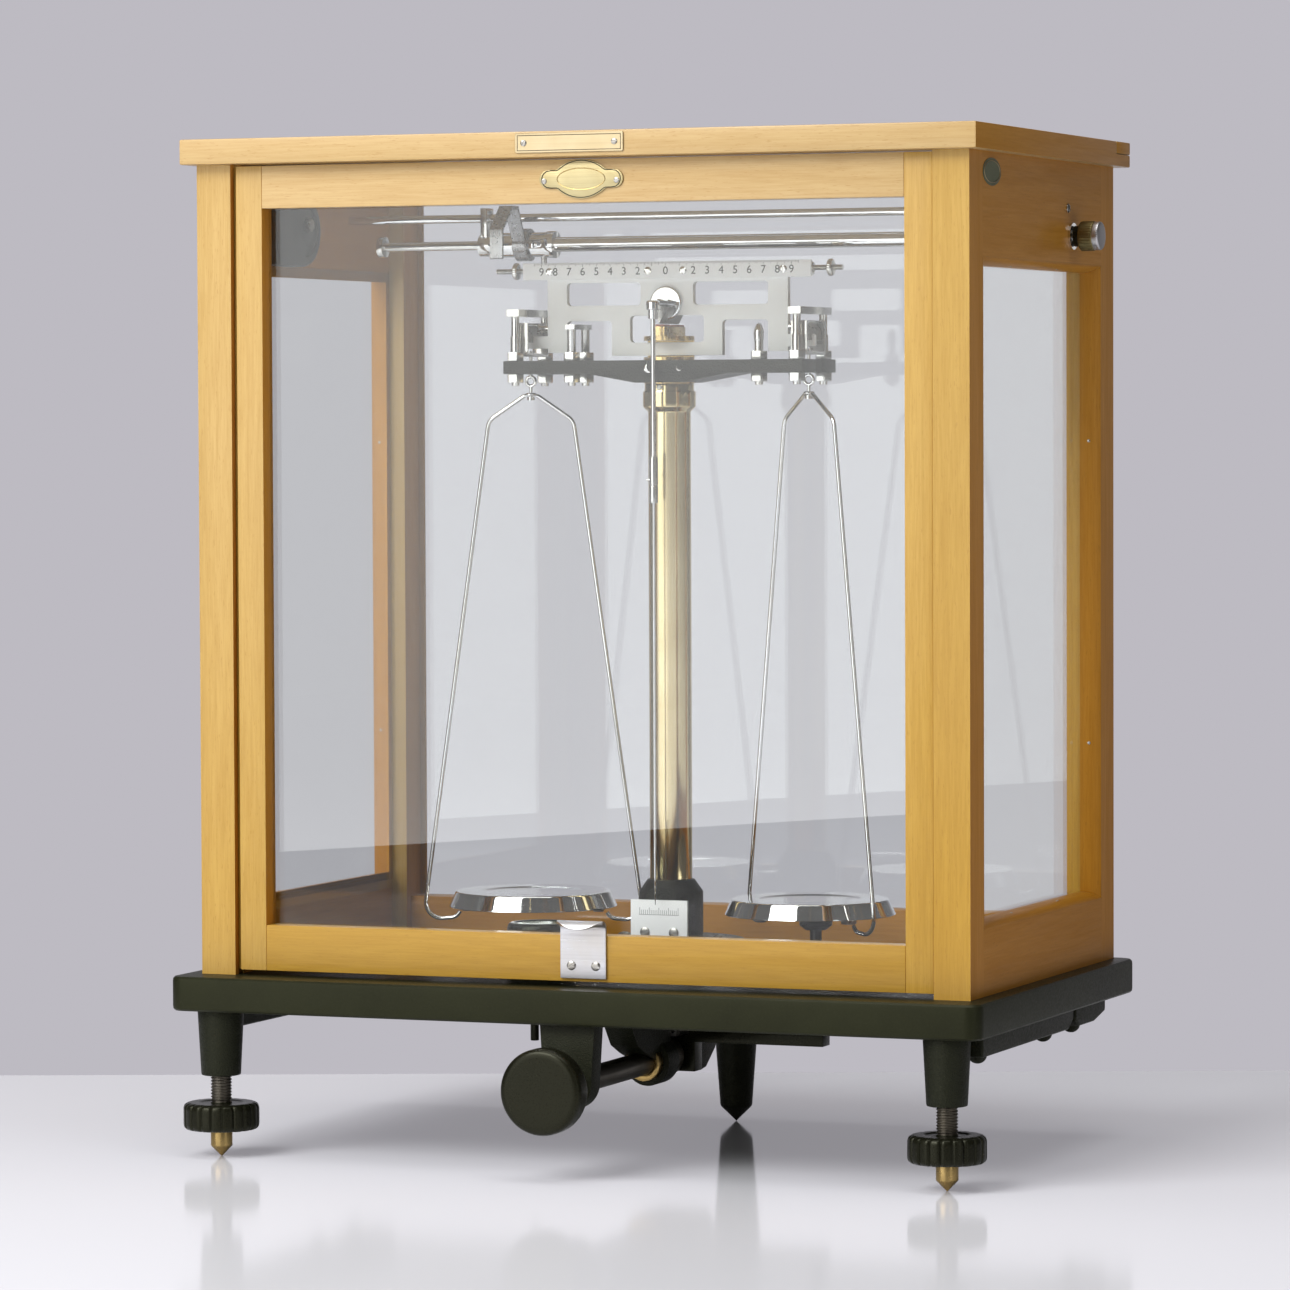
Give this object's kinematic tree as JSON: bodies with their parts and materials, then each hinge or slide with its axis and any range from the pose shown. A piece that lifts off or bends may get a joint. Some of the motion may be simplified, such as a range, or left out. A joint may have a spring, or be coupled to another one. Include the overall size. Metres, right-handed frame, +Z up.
{
  "type": "equal-arm analytical balance",
  "caption": "Laboratory equal-arm balance in a glazed wooden case with a lifting front sash, a black base on levelling feet and an arrest knob underneath.",
  "frame": {"origin": "on the table, under the middle of the whole object's box", "axes": "+Z up, +X to the right of someone facing the sash, +Y to the back"},
  "size_m": [0.4136, 0.2762, 0.4864],
  "materials": {
    "beech_front": "satin",
    "beech_side": "satin",
    "black_board": "satin",
    "glass": "polished",
    "cast_black": "matt",
    "crackle_black": "matt",
    "black_plastic": "satin",
    "brass": "brushed",
    "nickel": "polished",
    "steel": "satin",
    "aluminium": "brushed",
    "white_plate": "satin",
    "beam_paint": "matt",
    "agate": "gloss"
  },
  "bodies": {
    "case": {"base_board": "black_board", "corner_posts": "beech_front", "side_panels": "beech_side", "rear_frame": "beech_side", "glazing_beads": "beech_side", "case_glass": "glass", "top_board": "beech_front", "top_plate": "brass", "case_screws": "steel", "sash_spring_drums": "steel", "legs": "cast_black", "leg_brackets": "cast_black", "shaft_hangers": "cast_black", "shaft_bush": "brass", "column_plinth": "crackle_black", "column_foot": "crackle_black", "column_tube": "brass", "bearing_post": "brass", "bearing_agates": "agate", "index_plate": "white_plate", "spirit_level": "black_plastic", "rider_guides": "nickel"},
    "sash": {"sash_frame": "beech_front", "sash_glass": "glass", "sash_handle": "aluminium", "sash_plate": "brass", "sash_screws": "steel"},
    "left_foot": {"foot_tip_left": "brass"},
    "left_foot_screw": {"foot_screw_left": "black_plastic"},
    "right_foot": {"foot_tip_right": "brass"},
    "right_foot_screw": {"foot_screw_right": "black_plastic"},
    "arrest_shaft": {"arrest_knob": "black_plastic", "arrest_shaft": "steel"},
    "pan_arresters": {"pan_arresters": "steel"},
    "carrier": {"lift_rod": "steel", "carrier_arm": "crackle_black", "end_frames": "nickel", "arrest_posts": "nickel", "carrier_nuts": "nickel"},
    "beam": {"beam_plate": "beam_paint", "beam_scale": "white_plate", "beam_screws": "nickel", "beam_knives": "steel", "pointer_hub": "nickel", "pointer": "nickel"},
    "bob": {"pointer_bob": "nickel"},
    "left_nut": {"adjusting_nut_left": "nickel"},
    "right_nut": {"adjusting_nut_right": "nickel"},
    "left_stirrup": {"stirrup_left": "nickel", "hook_left": "nickel"},
    "right_stirrup": {"stirrup_right": "nickel", "hook_right": "nickel"},
    "left_pan": {"bail_left": "nickel", "pan_left": "nickel"},
    "right_pan": {"bail_right": "nickel", "pan_right": "nickel"},
    "rider_carriage": {"rider_carriage": "nickel"},
    "rider_shaft": {"rider_tube": "nickel", "rider_arm": "steel", "rider_knob": "brass"}
  },
  "joints": [
    {"name": "sash_lift", "type": "slide", "parent": "case", "child": "sash", "axis": [0, 0, 1], "range_m": [0, 0.3]},
    {"name": "left_foot_height", "type": "slide", "parent": "case", "child": "left_foot", "axis": [0, 0, 1], "range_m": [-0.003, 0.003]},
    {"name": "left_foot_turn", "type": "hinge", "parent": "left_foot", "child": "left_foot_screw", "pos_m": [-0.1836, -0.09445, 0.024], "axis": [0, 0, 1], "range_deg": [-720, 720]},
    {"name": "right_foot_height", "type": "slide", "parent": "case", "child": "right_foot", "axis": [0, 0, 1], "range_m": [-0.003, 0.003]},
    {"name": "right_foot_turn", "type": "hinge", "parent": "right_foot", "child": "right_foot_screw", "pos_m": [0.1836, -0.09445, 0.024], "axis": [0, 0, 1], "range_deg": [-720, 720]},
    {"name": "arrest_turn", "type": "hinge", "parent": "case", "child": "arrest_shaft", "pos_m": [0, -0.04085, 0.0423], "axis": [0, 1, 0], "range_deg": [0, 90]},
    {"name": "pan_arrester_drop", "type": "slide", "parent": "case", "child": "pan_arresters", "axis": [0, 0, 1], "range_m": [-0.003, 0]},
    {"name": "carrier_drop", "type": "slide", "parent": "case", "child": "carrier", "axis": [0, 0, 1], "range_m": [-0.0008, 0]},
    {"name": "beam_tilt", "type": "hinge", "parent": "case", "child": "beam", "pos_m": [0, 0.02915, 0.3984], "axis": [0, 1, 0], "range_deg": [-1.5, 1.5]},
    {"name": "bob_slide", "type": "slide", "parent": "beam", "child": "bob", "axis": [0, 0, 1], "range_m": [-0.01, 0]},
    {"name": "left_nut_slide", "type": "slide", "parent": "beam", "child": "left_nut", "axis": [1, 0, 0], "range_m": [-0.008, 0.003]},
    {"name": "right_nut_slide", "type": "slide", "parent": "beam", "child": "right_nut", "axis": [1, 0, 0], "range_m": [-0.007, 0.004]},
    {"name": "left_stirrup_pivot", "type": "hinge", "parent": "beam", "child": "left_stirrup", "pos_m": [-0.0725, 0.02915, 0.3984], "axis": [0, 1, 0], "range_deg": [-1.5, 1.5]},
    {"name": "right_stirrup_pivot", "type": "hinge", "parent": "beam", "child": "right_stirrup", "pos_m": [0.0725, 0.02915, 0.3984], "axis": [0, 1, 0], "range_deg": [-1.5, 1.5]},
    {"name": "left_pan_swivel", "type": "hinge", "parent": "left_stirrup", "child": "left_pan", "pos_m": [-0.0725, 0.02815, 0.3646], "axis": [0, 0, 1], "continuous": true},
    {"name": "right_pan_swivel", "type": "hinge", "parent": "right_stirrup", "child": "right_pan", "pos_m": [0.0725, 0.02815, 0.3646], "axis": [0, 0, 1], "continuous": true},
    {"name": "rider_slide", "type": "slide", "parent": "case", "child": "rider_carriage", "axis": [1, 0, 0], "range_m": [0, 0.15]},
    {"name": "rider_turn", "type": "hinge", "parent": "rider_carriage", "child": "rider_shaft", "pos_m": [0, 0.06115, 0.4388], "axis": [1, 0, 0], "range_deg": [-35, 0]}
  ],
  "couplings": [
    {"joint": "left_foot_turn", "follows": "left_foot_height", "rad_per_m": 4188.8},
    {"joint": "right_foot_turn", "follows": "right_foot_height", "rad_per_m": 4188.8},
    {"joint": "arrest_turn", "follows": "carrier_drop", "rad_per_m": -1963.5},
    {"joint": "pan_arrester_drop", "follows": "carrier_drop", "ratio": 3.7499},
    {"joint": "left_stirrup_pivot", "follows": "beam_tilt", "ratio": -1},
    {"joint": "right_stirrup_pivot", "follows": "beam_tilt", "ratio": -1}
  ]
}
